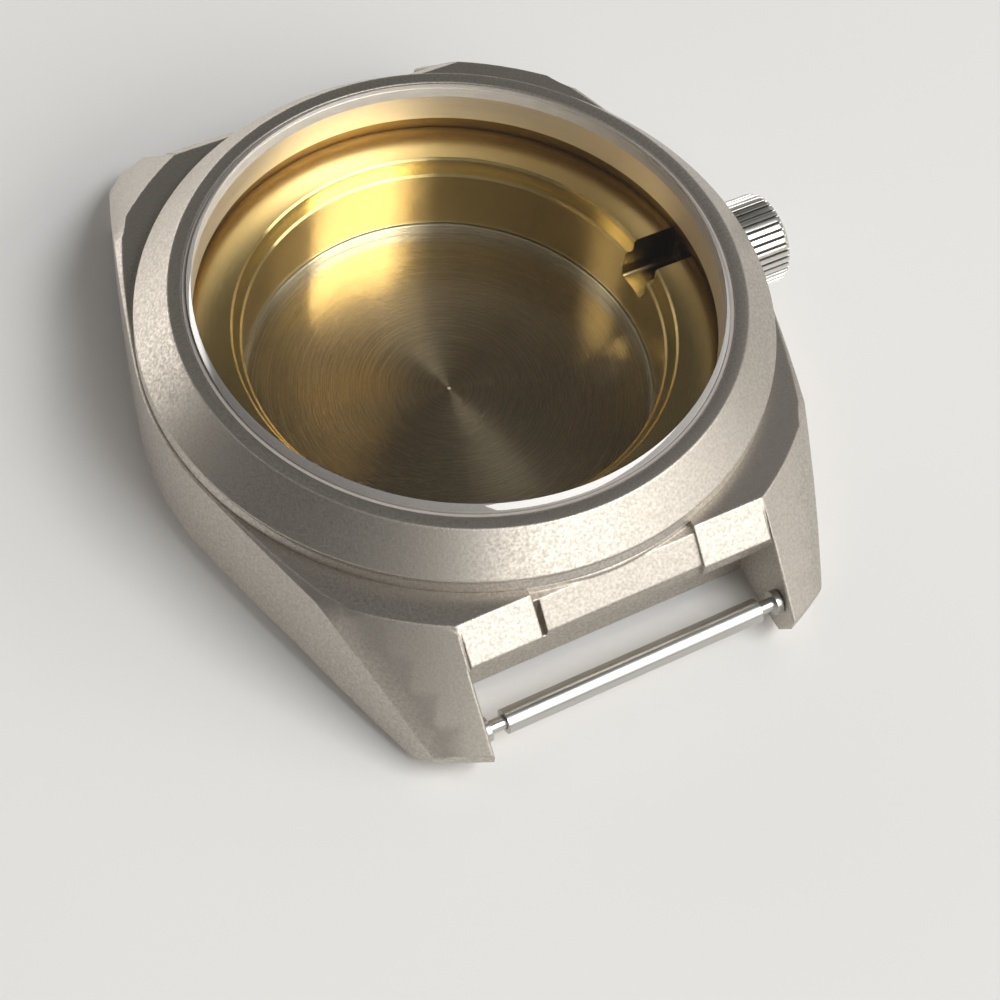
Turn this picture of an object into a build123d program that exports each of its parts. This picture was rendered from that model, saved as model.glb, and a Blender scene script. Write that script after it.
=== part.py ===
from build123d import *
from math import atan2, cos, hypot, radians, sin, sqrt, tan
import os

os.makedirs("parts", exist_ok=True)

# Empty wristwatch case. Millimetres, +Z up through the crystal, +X towards the crown
# (3 o'clock), +Y towards 12 o'clock. The origin is the centre of the case back's outer face.

# Overrun of every cutting tool past the face that it leaves
overrun = 1.0

# Crystal, its gasket and the bezel around them
crystal_radius = 16.05
crystal_thickness = 1.3
crystal_proud = 0.45       # how far the crystal stands above the bezel's land
crystal_bevel = 0.3
crystal_foot_bevel = 0.1
crystal_gasket_wall = 0.25
crystal_gasket_sunk = 0.08
bezel_land_width = 0.83    # narrow flat land around the crystal
bezel_wall = 1.1           # upright band at the foot
bezel_rise = 3.25          # height of the whole bezel over the flat top
bezel_foot_width = 1.8     # foot on the flat top, outside the neck
bezel_edge_break = 0.12
bezel_foot_break = 0.14
bezel_gasket_width = 0.45
bezel_gasket_height = 0.4

# Rehaut ring
rehaut_inset = 0.15        # top of its wall inside the crystal's rim
rehaut_draft = 0.15        # how much narrower the wall is at its foot
rehaut_flange_width = 0.4  # flange outside the bezel's bore
rehaut_seat_sunk = 0.1     # its seat below the flat top

# Mid case: band, lugs and end pieces
lug_gap = 20.0             # strap width between the lugs
band_foot_z = 1.9          # underside, where the case back seats
band_height = 6.75         # underside to the flat top around the bezel
band_margin = 0.2          # flank at 9 o'clock outside the bezel
band_knee_inset = 0.55     # where the tight flank arc meets the long one
band_knee_y = 4.5
flank_radius = 160.0       # long flank arc out to the lug tip
neck_wall = 0.7            # neck under the bezel, around the rehaut's flange
neck_rise = 1.55
flat_top_width = 2.2       # flat top from the bezel to the turned crease
facet_run = 5.0            # turned lug facet from the crease to the tip, seen from above
tip_top_z = 2.878          # upper edge of the upright band at the tip
tip_wall = 0.7             # and its height
tip_undercut_angle = 60.0
tip_corner = 0.8           # rounding of the tip's outer corner
lug_foot_z = 0.75          # lowest line of the lugs
lug_foot_length = 5.0      # that line's distance inside the tip
arch_y = 12.5              # where the underside starts to fall towards the lugs
flank_bevel_width = 0.7    # bevel between lug facet and flank, seen from above
flank_bevel_drop = 0.5     # and its depth below the skin at the flank
bevel_reach = 0.6          # how far the bevel's cutter stands clear of the metal
# Stations along the flank as shares of the tip radius, with the bevel's share of its full size
bevel_place_shares = (0, 0.06, 0.12, 0.18, 0.25, 0.32, 0.39, 0.46, 0.53, 0.6, 0.68, 0.76, 0.85, 0.94, 1.04)
bevel_size_shares = (0.14, 0.14, 0.14, 0.15, 0.18, 0.24, 0.34, 0.5, 0.74, 1, 1, 1, 1, 1, 1)
lug_edge_break = 0.12      # lightly broken inner edges of the lugs

end_crest_inset = 0.3      # top edge of the sloping end piece, inside the bezel's radius
end_run = 1.8              # slope of the end piece, seen from above
end_drop = 1.8
end_wall = 0.85            # upright band below the slope
end_root_wall = 0.75       # metal between the case back's recess and the strap
end_root_drop = 4.35       # depth of the strap hollow's shoulder below the top
notch_half_width = 5.33    # lowered middle of the end piece
notch_depth = 0.42
notch_crest_set = 0.2      # its top edge outside the end piece's
notch_lip_inset = 0.26     # its lower edge inside the end piece's
notch_fall = 1.49          # height of its slope

# Lip, bores and thread of the mid case
lip_step = 0.4             # lip outside the rehaut's foot
lip_height = 1.2
ring_bore_step = 0.5       # ring bore outside the lip
ring_clearance = 0.05
thread_bore_step = 0.32    # case back's thread outside the ring bore
thread_clearance = 0.07
thread_depth = 1.5

# Movement ring
movement_ring_width = 3.75 # metal between its bore and its rim
dial_seat_width = 0.55
dial_seat_depth = 0.95
ring_edge_break = 0.14
stem_slot_width = 2.6
stem_slot_below_axis = 0.78
stem_slot_corner = 0.5

# Case back and its gasket
back_floor_z = 1.0
back_plateau_rise = 0.75   # shoulder under the movement ring above the floor
back_dish_inset = 0.17     # dish inside the movement bore
back_thread_wall = 1.65
back_seat_gap = 0.05
back_thread_gap = 0.1
back_groove_inset = 0.15   # gasket groove outside the thread
back_groove_width = 0.66
back_groove_depth = 0.5
back_gasket_clearance = 0.04
back_flange_margin = 0.22  # flange outside the gasket groove
back_flange_wall = 0.75
back_counterbore_gap = 0.25
back_bevel_width = 2.0     # sloping rim around the flat underside
back_key_count = 6
back_key_width = 2.6
back_key_depth = 0.45
back_key_inside = 1.4      # reach of a key notch inside the flat underside's edge
back_key_outside = 0.9     # and outside it

# Crown, its tube and seals
crown_axis_z = 5.17
tube_radius = 1.25
tube_bore_radius = 0.8
tube_stand_out = 2.2       # outer end of the tube beyond the flank
tube_inner_gap = 0.1       # inner end of the tube outside the ring bore
tube_collar_width = 0.35
tube_collar_length = 0.35
tube_collar_sunk = 0.05
tube_gasket_length = 0.3
crown_radius = 3.0
crown_base_gap = 0.45      # crown to flank
crown_length = 2.75
crown_rim_round = 0.38     # rounded shoulder between flutes and dome, seen from the end
crown_dome_edge = 0.42
crown_dome_rise = 0.22
crown_flute_count = 40
crown_flute_radius = 0.1
crown_flute_depth = 0.13
crown_well_clearance = 0.35
crown_well_depth = 2.1
crown_gasket_width = 0.7   # its groove outside the tube
crown_gasket_length = 0.6
crown_gasket_inset = 0.7
seal_clearance = 0.02
post_clearance = 0.05
post_length = 3.5
post_tail_radius = 0.6
post_tail_length = 0.45
stem_hole_radius = 0.45
stem_hole_depth = 2.6

# Spring bars
bar_end_inset = 1.733      # bar inside the lug's end at the strap gap
bar_rise = 2.05            # bar above the lug's lowest line
bar_radius = 0.75
bar_end_gap = 1.5          # end of the barrel inside the lug's face
bar_wall = 0.25
bar_crimp = 0.05           # how far the crimped ends are drawn in
bar_crimp_length = 0.3
tip_pin_clearance = 0.05
lug_hole_radius = 0.5
lug_hole_depth = 1.2
tip_pin_reach = 0.93       # how far a tip stands in its lug hole
tip_flange_gap = 0.05
tip_flange_length = 0.4
tip_flange_inset = 0.01
tip_neck_clearance = 0.04
tip_head_clearance = 0.03
tip_head_length = 0.4
tip_neck_length = 2.9
tip_pin_edge = 0.1
tip_travel = 0.98
coil_clearance = 0.04
coil_wire = 0.16
coil_end_gap = 0.07

# Sizes that follow, from the crystal outwards
pocket_radius = crystal_radius + crystal_gasket_wall
bezel_land_radius = pocket_radius + bezel_land_width
rehaut_top_radius = crystal_radius - rehaut_inset
rehaut_foot_radius = rehaut_top_radius - rehaut_draft
rehaut_flange_radius = pocket_radius + rehaut_flange_width
neck_radius = rehaut_flange_radius + neck_wall
bezel_radius = neck_radius + bezel_foot_width
lip_radius = rehaut_foot_radius + lip_step
ring_bore_radius = lip_radius + ring_bore_step
ring_radius = ring_bore_radius - ring_clearance
thread_bore_radius = ring_bore_radius + thread_bore_step
back_thread_radius = thread_bore_radius - thread_clearance
ring_waist_radius = back_thread_radius - back_thread_wall - ring_clearance
movement_bore_radius = ring_radius - movement_ring_width
dial_seat_radius = movement_bore_radius + dial_seat_width
back_dish_radius = movement_bore_radius - back_dish_inset
back_groove_inner_radius = thread_bore_radius + back_groove_inset
back_groove_outer_radius = back_groove_inner_radius + back_groove_width
back_flange_radius = back_groove_outer_radius + back_flange_margin
back_crown_radius = back_flange_radius - back_bevel_width
back_key_inner_radius = back_crown_radius - back_key_inside
back_key_outer_radius = back_crown_radius + back_key_outside
band_half_width = bezel_radius + band_margin
band_knee_x = band_half_width - band_knee_inset
facet_radius = bezel_radius + flat_top_width
tip_radius = facet_radius + facet_run
lug_face_x = lug_gap / 2
lug_foot_y = tip_radius - lug_foot_length
end_crest_y = bezel_radius - end_crest_inset
end_lip_y = end_crest_y + end_run
end_root_y = back_flange_radius + back_counterbore_gap + end_root_wall
notch_crest_y = end_crest_y + notch_crest_set
notch_lip_y = end_lip_y - notch_lip_inset

# Heights that follow, from the case back upwards
back_plateau_z = back_floor_z + back_plateau_rise
back_flange_top_z = band_foot_z - back_seat_gap
thread_top_z = band_foot_z + thread_depth
back_thread_top_z = thread_top_z - back_thread_gap
ring_foot_z = back_plateau_z + back_thread_gap
ring_shoulder_z = back_thread_top_z + back_thread_gap + ring_clearance
band_top_z = band_foot_z + band_height
facet_slope = (band_top_z - tip_top_z) / facet_run
tip_low_z = tip_top_z - tip_wall
rehaut_seat_z = band_top_z - rehaut_seat_sunk
ring_top_z = rehaut_seat_z - lip_height
dial_seat_z = ring_top_z - dial_seat_depth
neck_top_z = band_top_z + neck_rise
bezel_top_z = band_top_z + bezel_rise
crystal_top_z = bezel_top_z + crystal_proud
crystal_foot_z = crystal_top_z - crystal_thickness

# Crown and spring bars, from the flank and the lugs
tube_seat_x = band_half_width - tube_collar_sunk - tube_collar_length - tube_gasket_length
tube_outer_x = band_half_width + tube_stand_out
tube_collar_radius = tube_radius + tube_collar_width
crown_well_radius = tube_radius + crown_well_clearance
crown_gasket_radius = tube_radius + crown_gasket_width
crown_rim_radius = crown_radius - crown_rim_round
bar_y = sqrt(tip_radius ** 2 - lug_face_x ** 2) - bar_end_inset
bar_z = lug_foot_z + bar_rise
bar_half_length = lug_face_x - bar_end_gap
bar_bore_radius = bar_radius - bar_wall
bar_crimp_radius = bar_bore_radius - bar_crimp
tip_flange_radius = bar_radius - tip_flange_inset
tip_neck_radius = bar_crimp_radius - tip_neck_clearance
tip_head_radius = bar_bore_radius - tip_head_clearance
coil_radius = bar_bore_radius - coil_clearance
coil_bore_radius = coil_radius - coil_wire


def flank_arcs():
    """Centres and radii of the flank's two tangent arcs on the +X, +Y quarter."""
    inset = band_half_width - band_knee_x
    tight = (band_knee_y ** 2 + inset ** 2) / (2 * inset)
    tight_x = band_half_width - tight
    turn = atan2(band_knee_y, band_knee_x - tight_x)
    long_x = tight_x - (flank_radius - tight) * cos(turn)
    long_y = -(flank_radius - tight) * sin(turn)
    return tight, tight_x, turn, long_x, long_y


tight_radius, tight_x, knee_turn, long_x, long_y = flank_arcs()


def flank_x(y):
    """Half width of the band at a distance y from the 3-9 line."""
    if abs(y) <= band_knee_y:
        return tight_x + sqrt(tight_radius ** 2 - y ** 2)
    return long_x + sqrt(flank_radius ** 2 - (abs(y) - long_y) ** 2)


def facet_z(x, y):
    """Height of the case's upper skin over a point of the plan."""
    fall = max(hypot(x, y) - facet_radius, 0) * facet_slope
    return band_top_z - fall


# Tool for the lowered middle of both end pieces, kept clear of the bezel's seat
with BuildPart() as notch_tool:
    for side in (1, -1):
        with BuildSketch(Plane.YZ):
            with BuildLine():
                Polyline(
                    (side * neck_radius, band_top_z + overrun), (side * neck_radius, band_top_z - notch_depth),
                    (side * notch_crest_y, band_top_z - notch_depth),
                    (side * notch_lip_y, band_top_z - notch_depth - notch_fall),
                    (side * notch_lip_y, band_top_z - end_root_drop),
                    (side * (end_lip_y + overrun), band_top_z - end_root_drop),
                    (side * (end_lip_y + overrun), band_top_z + overrun), close=True)
            make_face()
        extrude(amount=notch_half_width, both=True)
    with BuildSketch(Plane.XY):
        Circle(bezel_radius)
    extrude(amount=bezel_top_z, mode=Mode.SUBTRACT)

# Tool for the long bevels, from the 3-9 line to each lug tip: ruled runs of three-sided sections
with BuildPart() as bevel_tool:
    for place, share in zip(bevel_place_shares, bevel_size_shares):
        y = place * tip_radius
        wall_x = flank_x(y)
        upper_x = wall_x - share * flank_bevel_width
        upper_z = facet_z(upper_x, y)
        lower_z = facet_z(wall_x, y) - share * flank_bevel_drop
        run = hypot(wall_x - upper_x, upper_z - lower_z)
        step_x = (wall_x - upper_x) / run * bevel_reach
        step_z = (upper_z - lower_z) / run * bevel_reach
        with BuildSketch(Plane.XZ.offset(-y)):
            Polygon(
                (upper_x - step_x, upper_z + step_z), (wall_x + step_x, lower_z - step_z),
                (wall_x + step_x + bevel_reach, upper_z + step_z + bevel_reach), align=None)
    loft(ruled=True)
    mirror(about=Plane.YZ)
    mirror(about=Plane.XZ)

# Mid case
# Milled from one bar: plan outline, side profile and turned envelope, all three in common.
outline_end_y = tip_radius + overrun
outline_end_x = flank_x(outline_end_y)
flank_mid_y = (band_knee_y + outline_end_y) / 2
flank_mid_x = flank_x(flank_mid_y)
with BuildPart() as mid_case:
    with BuildSketch(Plane.XY):
        with BuildLine():
            ThreePointArc((band_knee_x, -band_knee_y), (band_half_width, 0), (band_knee_x, band_knee_y))
            ThreePointArc((band_knee_x, band_knee_y), (flank_mid_x, flank_mid_y), (outline_end_x, outline_end_y))
            Line((outline_end_x, outline_end_y), (-outline_end_x, outline_end_y))
            ThreePointArc((-outline_end_x, outline_end_y), (-flank_mid_x, flank_mid_y), (-band_knee_x, band_knee_y))
            ThreePointArc((-band_knee_x, band_knee_y), (-band_half_width, 0), (-band_knee_x, -band_knee_y))
            ThreePointArc((-band_knee_x, -band_knee_y), (-flank_mid_x, -flank_mid_y), (-outline_end_x, -outline_end_y))
            Line((-outline_end_x, -outline_end_y), (outline_end_x, -outline_end_y))
            ThreePointArc((outline_end_x, -outline_end_y), (flank_mid_x, -flank_mid_y), (band_knee_x, -band_knee_y))
        make_face()
    extrude(amount=band_top_z)
    # Side profile: flat underside, falling to the lugs
    with BuildSketch(Plane.YZ):
        with BuildLine():
            Polyline(
                (-outline_end_y, band_top_z), (-outline_end_y, lug_foot_z), (-lug_foot_y, lug_foot_z),
                (-arch_y, band_foot_z), (arch_y, band_foot_z), (lug_foot_y, lug_foot_z),
                (outline_end_y, lug_foot_z), (outline_end_y, band_top_z), close=True)
        make_face()
    extrude(amount=outline_end_y, both=True, mode=Mode.INTERSECT)
    # Turned envelope: flat top, lug facet, upright tip, undercut tip
    undercut_radius = tip_radius - tip_low_z / tan(radians(tip_undercut_angle))
    with BuildSketch(Plane.XZ):
        with BuildLine():
            Polyline(
                (0, 0), (undercut_radius, 0), (tip_radius, tip_low_z), (tip_radius, tip_top_z),
                (facet_radius, band_top_z), (0, band_top_z), close=True)
        make_face()
    revolve(axis=Axis.Z, mode=Mode.INTERSECT)
    # Strap gaps: sloping end piece, upright wall, hollow behind the bar
    for side in (1, -1):
        with BuildSketch(Plane.YZ):
            with BuildLine():
                Polyline(
                    (side * end_crest_y, band_top_z + overrun), (side * end_crest_y, band_top_z),
                    (side * end_lip_y, band_top_z - end_drop),
                    (side * end_lip_y, band_top_z - end_drop - end_wall),
                    (side * end_root_y, band_top_z - end_root_drop),
                    (side * end_root_y, -overrun), (side * (tip_radius + overrun), -overrun),
                    (side * (tip_radius + overrun), band_top_z + overrun), close=True)
            make_face()
        extrude(amount=lug_face_x, both=True, mode=Mode.SUBTRACT)
    # Rounded outer corners of the lug tips
    fillet(
        mid_case.edges().filter_by(Axis.Z)
        .filter_by(lambda e: hypot(e.center().X, e.center().Y) > tip_radius - tip_corner)
        .filter_by(lambda e: abs(e.center().X) > lug_face_x + tip_corner),
        tip_corner)
    # Lowered middle of the end pieces, and the long bevels of the four flanks
    add(notch_tool.part, mode=Mode.SUBTRACT)
    add(bevel_tool.part, mode=Mode.SUBTRACT)
    # Broken inner edges of the lugs
    chamfer(
        mid_case.edges()
        .filter_by(lambda e: abs(abs(e.center().X) - lug_face_x) < lug_edge_break)
        .filter_by(lambda e: e.center().Z > tip_low_z and abs(e.center().Y) > end_lip_y)
        .filter_by(GeomType.LINE, reverse=True),
        lug_edge_break)
    # Neck for the bezel
    with BuildSketch(Plane.XY.offset(band_top_z)):
        Circle(neck_radius)
    extrude(amount=neck_rise)
    # Bores from the neck to the underside
    with BuildSketch(Plane.XZ):
        with BuildLine():
            Polyline(
                (0, -overrun), (back_flange_radius + back_counterbore_gap, -overrun),
                (back_flange_radius + back_counterbore_gap, band_foot_z), (thread_bore_radius, band_foot_z),
                (thread_bore_radius, thread_top_z), (ring_bore_radius, thread_top_z),
                (ring_bore_radius, ring_top_z), (lip_radius, ring_top_z), (lip_radius, rehaut_seat_z),
                (rehaut_flange_radius, rehaut_seat_z), (rehaut_flange_radius, neck_top_z + overrun),
                (0, neck_top_z + overrun), close=True)
        make_face()
    revolve(axis=Axis.Z, mode=Mode.SUBTRACT)
    # Gasket groove in the underside
    with BuildSketch(Plane.XY.offset(band_foot_z)):
        Circle(back_groove_outer_radius)
        Circle(back_groove_inner_radius, mode=Mode.SUBTRACT)
    extrude(amount=back_groove_depth, mode=Mode.SUBTRACT)
    # Hole for the crown tube, with the counterbore of its collar
    with BuildSketch(Plane.YZ.offset(ring_bore_radius - overrun)):
        with Locations((0, crown_axis_z)):
            Circle(tube_radius)
    extrude(amount=band_half_width, mode=Mode.SUBTRACT)
    with BuildSketch(Plane.YZ.offset(tube_seat_x)):
        with Locations((0, crown_axis_z)):
            Circle(tube_collar_radius)
    extrude(amount=band_half_width, mode=Mode.SUBTRACT)
    # Blind holes for the spring bars
    for side in (1, -1):
        with BuildSketch(Plane.YZ.offset(side * lug_face_x)):
            with Locations((bar_y, bar_z), (-bar_y, bar_z)):
                Circle(lug_hole_radius)
        extrude(amount=side * lug_hole_depth, mode=Mode.SUBTRACT)
mid_case.part.label = "mid_case"
export_step(mid_case.part, "parts/mid_case.step")

# Bezel
# Turned ring: upright foot, wide cone, narrow flat land, bore for the crystal
with BuildPart() as bezel:
    with BuildSketch(Plane.XZ):
        with BuildLine():
            Polyline(
                (neck_radius, band_top_z), (bezel_radius - bezel_foot_break, band_top_z),
                (bezel_radius, band_top_z + bezel_foot_break), (bezel_radius, band_top_z + bezel_wall),
                (bezel_land_radius, bezel_top_z), (pocket_radius, bezel_top_z),
                (pocket_radius, neck_top_z), (neck_radius, neck_top_z), close=True)
        make_face()
        fillet(
            vertices().filter_by(lambda v: hypot(v.X - bezel_radius, v.Y - band_top_z - bezel_wall) < bezel_edge_break
                                 or hypot(v.X - bezel_land_radius, v.Y - bezel_top_z) < bezel_edge_break),
            bezel_edge_break)
    revolve(axis=Axis.Z)
    # Groove for the seal against the neck
    with BuildSketch(Plane.XY.offset(band_top_z)):
        Circle(neck_radius + bezel_gasket_width)
        Circle(neck_radius, mode=Mode.SUBTRACT)
    extrude(amount=bezel_gasket_height, mode=Mode.SUBTRACT)
bezel.part.label = "bezel"
export_step(bezel.part, "parts/bezel.step")

# Bezel gasket
with BuildPart() as bezel_gasket:
    with BuildSketch(Plane.XY.offset(band_top_z)):
        Circle(neck_radius + bezel_gasket_width)
        Circle(neck_radius, mode=Mode.SUBTRACT)
    extrude(amount=bezel_gasket_height)
bezel_gasket.part.label = "bezel_gasket"
export_step(bezel_gasket.part, "parts/bezel_gasket.step")

# Rehaut ring
# Polished inner ring: its flange stands on the case's lip, its top carries the crystal
with BuildPart() as rehaut_ring:
    with BuildSketch(Plane.XZ):
        with BuildLine():
            Polyline(
                (rehaut_foot_radius, rehaut_seat_z), (rehaut_flange_radius, rehaut_seat_z),
                (rehaut_flange_radius, neck_top_z), (pocket_radius, neck_top_z),
                (pocket_radius, crystal_foot_z), (rehaut_top_radius, crystal_foot_z), close=True)
        make_face()
    revolve(axis=Axis.Z)
rehaut_ring.part.label = "rehaut_ring"
export_step(rehaut_ring.part, "parts/rehaut_ring.step")

# Crystal
with BuildPart() as crystal:
    with BuildSketch(Plane.XY.offset(crystal_foot_z)):
        Circle(crystal_radius)
    extrude(amount=crystal_thickness)
    chamfer(crystal.edges().group_by(Axis.Z)[-1], crystal_bevel)
    chamfer(crystal.edges().group_by(Axis.Z)[0], crystal_foot_bevel)
crystal.part.label = "crystal"
export_step(crystal.part, "parts/crystal.step")

# Crystal gasket
with BuildPart() as crystal_gasket:
    with BuildSketch(Plane.XY.offset(crystal_foot_z)):
        Circle(pocket_radius)
        Circle(crystal_radius, mode=Mode.SUBTRACT)
    extrude(amount=bezel_top_z - crystal_gasket_sunk - crystal_foot_z)
crystal_gasket.part.label = "crystal_gasket"
export_step(crystal_gasket.part, "parts/crystal_gasket.step")

# Movement ring
# Turned brass: dial seat, bore for the movement, waist inside the case back's thread wall
with BuildPart() as movement_ring:
    with BuildSketch(Plane.XZ):
        with BuildLine():
            Polyline(
                (movement_bore_radius, ring_foot_z), (ring_waist_radius, ring_foot_z),
                (ring_waist_radius, ring_shoulder_z), (ring_radius, ring_shoulder_z),
                (ring_radius, ring_top_z), (dial_seat_radius + ring_edge_break, ring_top_z),
                (dial_seat_radius, ring_top_z - ring_edge_break), (dial_seat_radius, dial_seat_z),
                (movement_bore_radius + ring_edge_break, dial_seat_z),
                (movement_bore_radius, dial_seat_z - ring_edge_break), close=True)
        make_face()
    revolve(axis=Axis.Z)
    # Slot for the winding stem, open at the top
    slot_foot_z = crown_axis_z - stem_slot_below_axis
    slot_height = ring_top_z + overrun - slot_foot_z
    with BuildSketch(Plane.YZ.offset(movement_bore_radius - overrun)):
        with Locations((0, slot_foot_z + slot_height / 2)):
            Rectangle(stem_slot_width, slot_height)
        fillet(vertices().group_by(Axis.Y)[0], stem_slot_corner)
    extrude(amount=ring_radius - movement_bore_radius + 2 * overrun, mode=Mode.SUBTRACT)
movement_ring.part.label = "movement_ring"
export_step(movement_ring.part, "parts/movement_ring.step")

# Case back
# Dished inside, thread wall around the ring's waist, bevelled flange with key notches below
with BuildPart() as case_back:
    with BuildSketch(Plane.XZ):
        with BuildLine():
            Polyline(
                (0, 0), (back_crown_radius, 0), (back_flange_radius, back_flange_top_z - back_flange_wall),
                (back_flange_radius, back_flange_top_z), (back_thread_radius, back_flange_top_z),
                (back_thread_radius, back_thread_top_z), (ring_waist_radius + ring_clearance, back_thread_top_z),
                (ring_waist_radius + ring_clearance, back_plateau_z), (back_dish_radius, back_plateau_z),
                (back_dish_radius, back_floor_z), (0, back_floor_z), close=True)
        make_face()
    revolve(axis=Axis.Z)
    with BuildSketch(Plane.XY):
        with PolarLocations((back_key_inner_radius + back_key_outer_radius) / 2, back_key_count):
            Rectangle(back_key_outer_radius - back_key_inner_radius, back_key_width)
    extrude(amount=back_key_depth, mode=Mode.SUBTRACT)
case_back.part.label = "case_back"
export_step(case_back.part, "parts/case_back.step")

# Case back gasket
with BuildPart() as case_back_gasket:
    with BuildSketch(Plane.XY.offset(back_flange_top_z + seal_clearance)):
        Circle(back_groove_outer_radius - back_gasket_clearance)
        Circle(back_groove_inner_radius + back_gasket_clearance, mode=Mode.SUBTRACT)
    extrude(amount=back_groove_depth)
case_back_gasket.part.label = "case_back_gasket"
export_step(case_back_gasket.part, "parts/case_back_gasket.step")

# Crown tube, pressed into the flank
with BuildPart() as crown_tube:
    with BuildSketch(Plane.YZ.offset(ring_bore_radius + tube_inner_gap)):
        with Locations((0, crown_axis_z)):
            Circle(tube_radius)
    extrude(amount=tube_outer_x - ring_bore_radius - tube_inner_gap)
    with BuildSketch(Plane.YZ.offset(tube_seat_x + tube_gasket_length)):
        with Locations((0, crown_axis_z)):
            Circle(tube_collar_radius)
    extrude(amount=tube_collar_length)
    with BuildSketch(Plane.YZ.offset(ring_bore_radius)):
        with Locations((0, crown_axis_z)):
            Circle(tube_bore_radius)
    extrude(amount=tube_outer_x, mode=Mode.SUBTRACT)
crown_tube.part.label = "crown_tube"
export_step(crown_tube.part, "parts/crown_tube.step")

# Gasket under the tube's collar
with BuildPart() as crown_tube_gasket:
    with BuildSketch(Plane.YZ.offset(tube_seat_x)):
        with Locations((0, crown_axis_z)):
            Circle(tube_collar_radius)
            Circle(tube_radius, mode=Mode.SUBTRACT)
    extrude(amount=tube_gasket_length)
crown_tube_gasket.part.label = "crown_tube_gasket"
export_step(crown_tube_gasket.part, "parts/crown_tube_gasket.step")

# Crown
# Fluted cap with a low domed end, drawn as a half section around the stem axis
crown_base_x = band_half_width + crown_base_gap
crown_shoulder_x = crown_base_x + crown_length
well_end_x = crown_base_x + crown_well_depth
crown_gasket_x = crown_base_x + crown_gasket_inset
crown_axis = Axis((0, 0, crown_axis_z), (1, 0, 0))
crown_plane = Plane(origin=(0, 0, crown_axis_z), x_dir=(1, 0, 0), z_dir=(0, -1, 0))
with BuildPart() as crown:
    with BuildSketch(crown_plane):
        with BuildLine():
            Polyline(
                (crown_shoulder_x, crown_radius), (crown_base_x, crown_radius), (crown_base_x, crown_well_radius),
                (crown_gasket_x - seal_clearance, crown_well_radius),
                (crown_gasket_x - seal_clearance, crown_gasket_radius),
                (crown_gasket_x + crown_gasket_length + seal_clearance, crown_gasket_radius),
                (crown_gasket_x + crown_gasket_length + seal_clearance, crown_well_radius),
                (well_end_x, crown_well_radius), (well_end_x, 0),
                (crown_shoulder_x + crown_dome_edge + crown_dome_rise, 0))
            ThreePointArc(
                (crown_shoulder_x + crown_dome_edge + crown_dome_rise, 0),
                (crown_shoulder_x + crown_dome_edge + crown_dome_rise * 3 / 4, crown_rim_radius / 2),
                (crown_shoulder_x + crown_dome_edge, crown_rim_radius))
            RadiusArc(
                (crown_shoulder_x + crown_dome_edge, crown_rim_radius), (crown_shoulder_x, crown_radius),
                -crown_dome_edge)
        make_face()
    revolve(axis=crown_axis)
    # Flutes along the axis
    with BuildSketch(Plane.YZ.offset(crown_base_x - overrun)):
        with Locations((0, crown_axis_z)):
            with PolarLocations(crown_radius + crown_flute_radius - crown_flute_depth, crown_flute_count):
                Circle(crown_flute_radius)
    extrude(amount=crown_length + crown_dome_edge + overrun, mode=Mode.SUBTRACT)
    # Seat of the post's tail
    with BuildSketch(Plane.YZ.offset(well_end_x)):
        with Locations((0, crown_axis_z)):
            Circle(post_tail_radius)
    extrude(amount=post_tail_length, mode=Mode.SUBTRACT)
crown.part.label = "crown"
export_step(crown.part, "parts/crown.step")

# Crown post with the hole that the stem screws into
with BuildPart() as crown_post:
    with BuildSketch(Plane.YZ.offset(well_end_x - post_length)):
        with Locations((0, crown_axis_z)):
            Circle(tube_bore_radius - post_clearance)
    extrude(amount=post_length)
    with BuildSketch(Plane.YZ.offset(well_end_x)):
        with Locations((0, crown_axis_z)):
            Circle(post_tail_radius)
    extrude(amount=post_tail_length)
    with BuildSketch(Plane.YZ.offset(well_end_x - post_length)):
        with Locations((0, crown_axis_z)):
            Circle(stem_hole_radius)
    extrude(amount=stem_hole_depth, mode=Mode.SUBTRACT)
crown_post.part.label = "crown_post"
export_step(crown_post.part, "parts/crown_post.step")

# Crown gasket, running on the tube
with BuildPart() as crown_gasket:
    with BuildSketch(Plane.YZ.offset(crown_gasket_x)):
        with Locations((0, crown_axis_z)):
            Circle(crown_gasket_radius - seal_clearance)
            Circle(tube_radius + seal_clearance, mode=Mode.SUBTRACT)
    extrude(amount=crown_gasket_length)
crown_gasket.part.label = "crown_gasket"
export_step(crown_gasket.part, "parts/crown_gasket.step")

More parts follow.
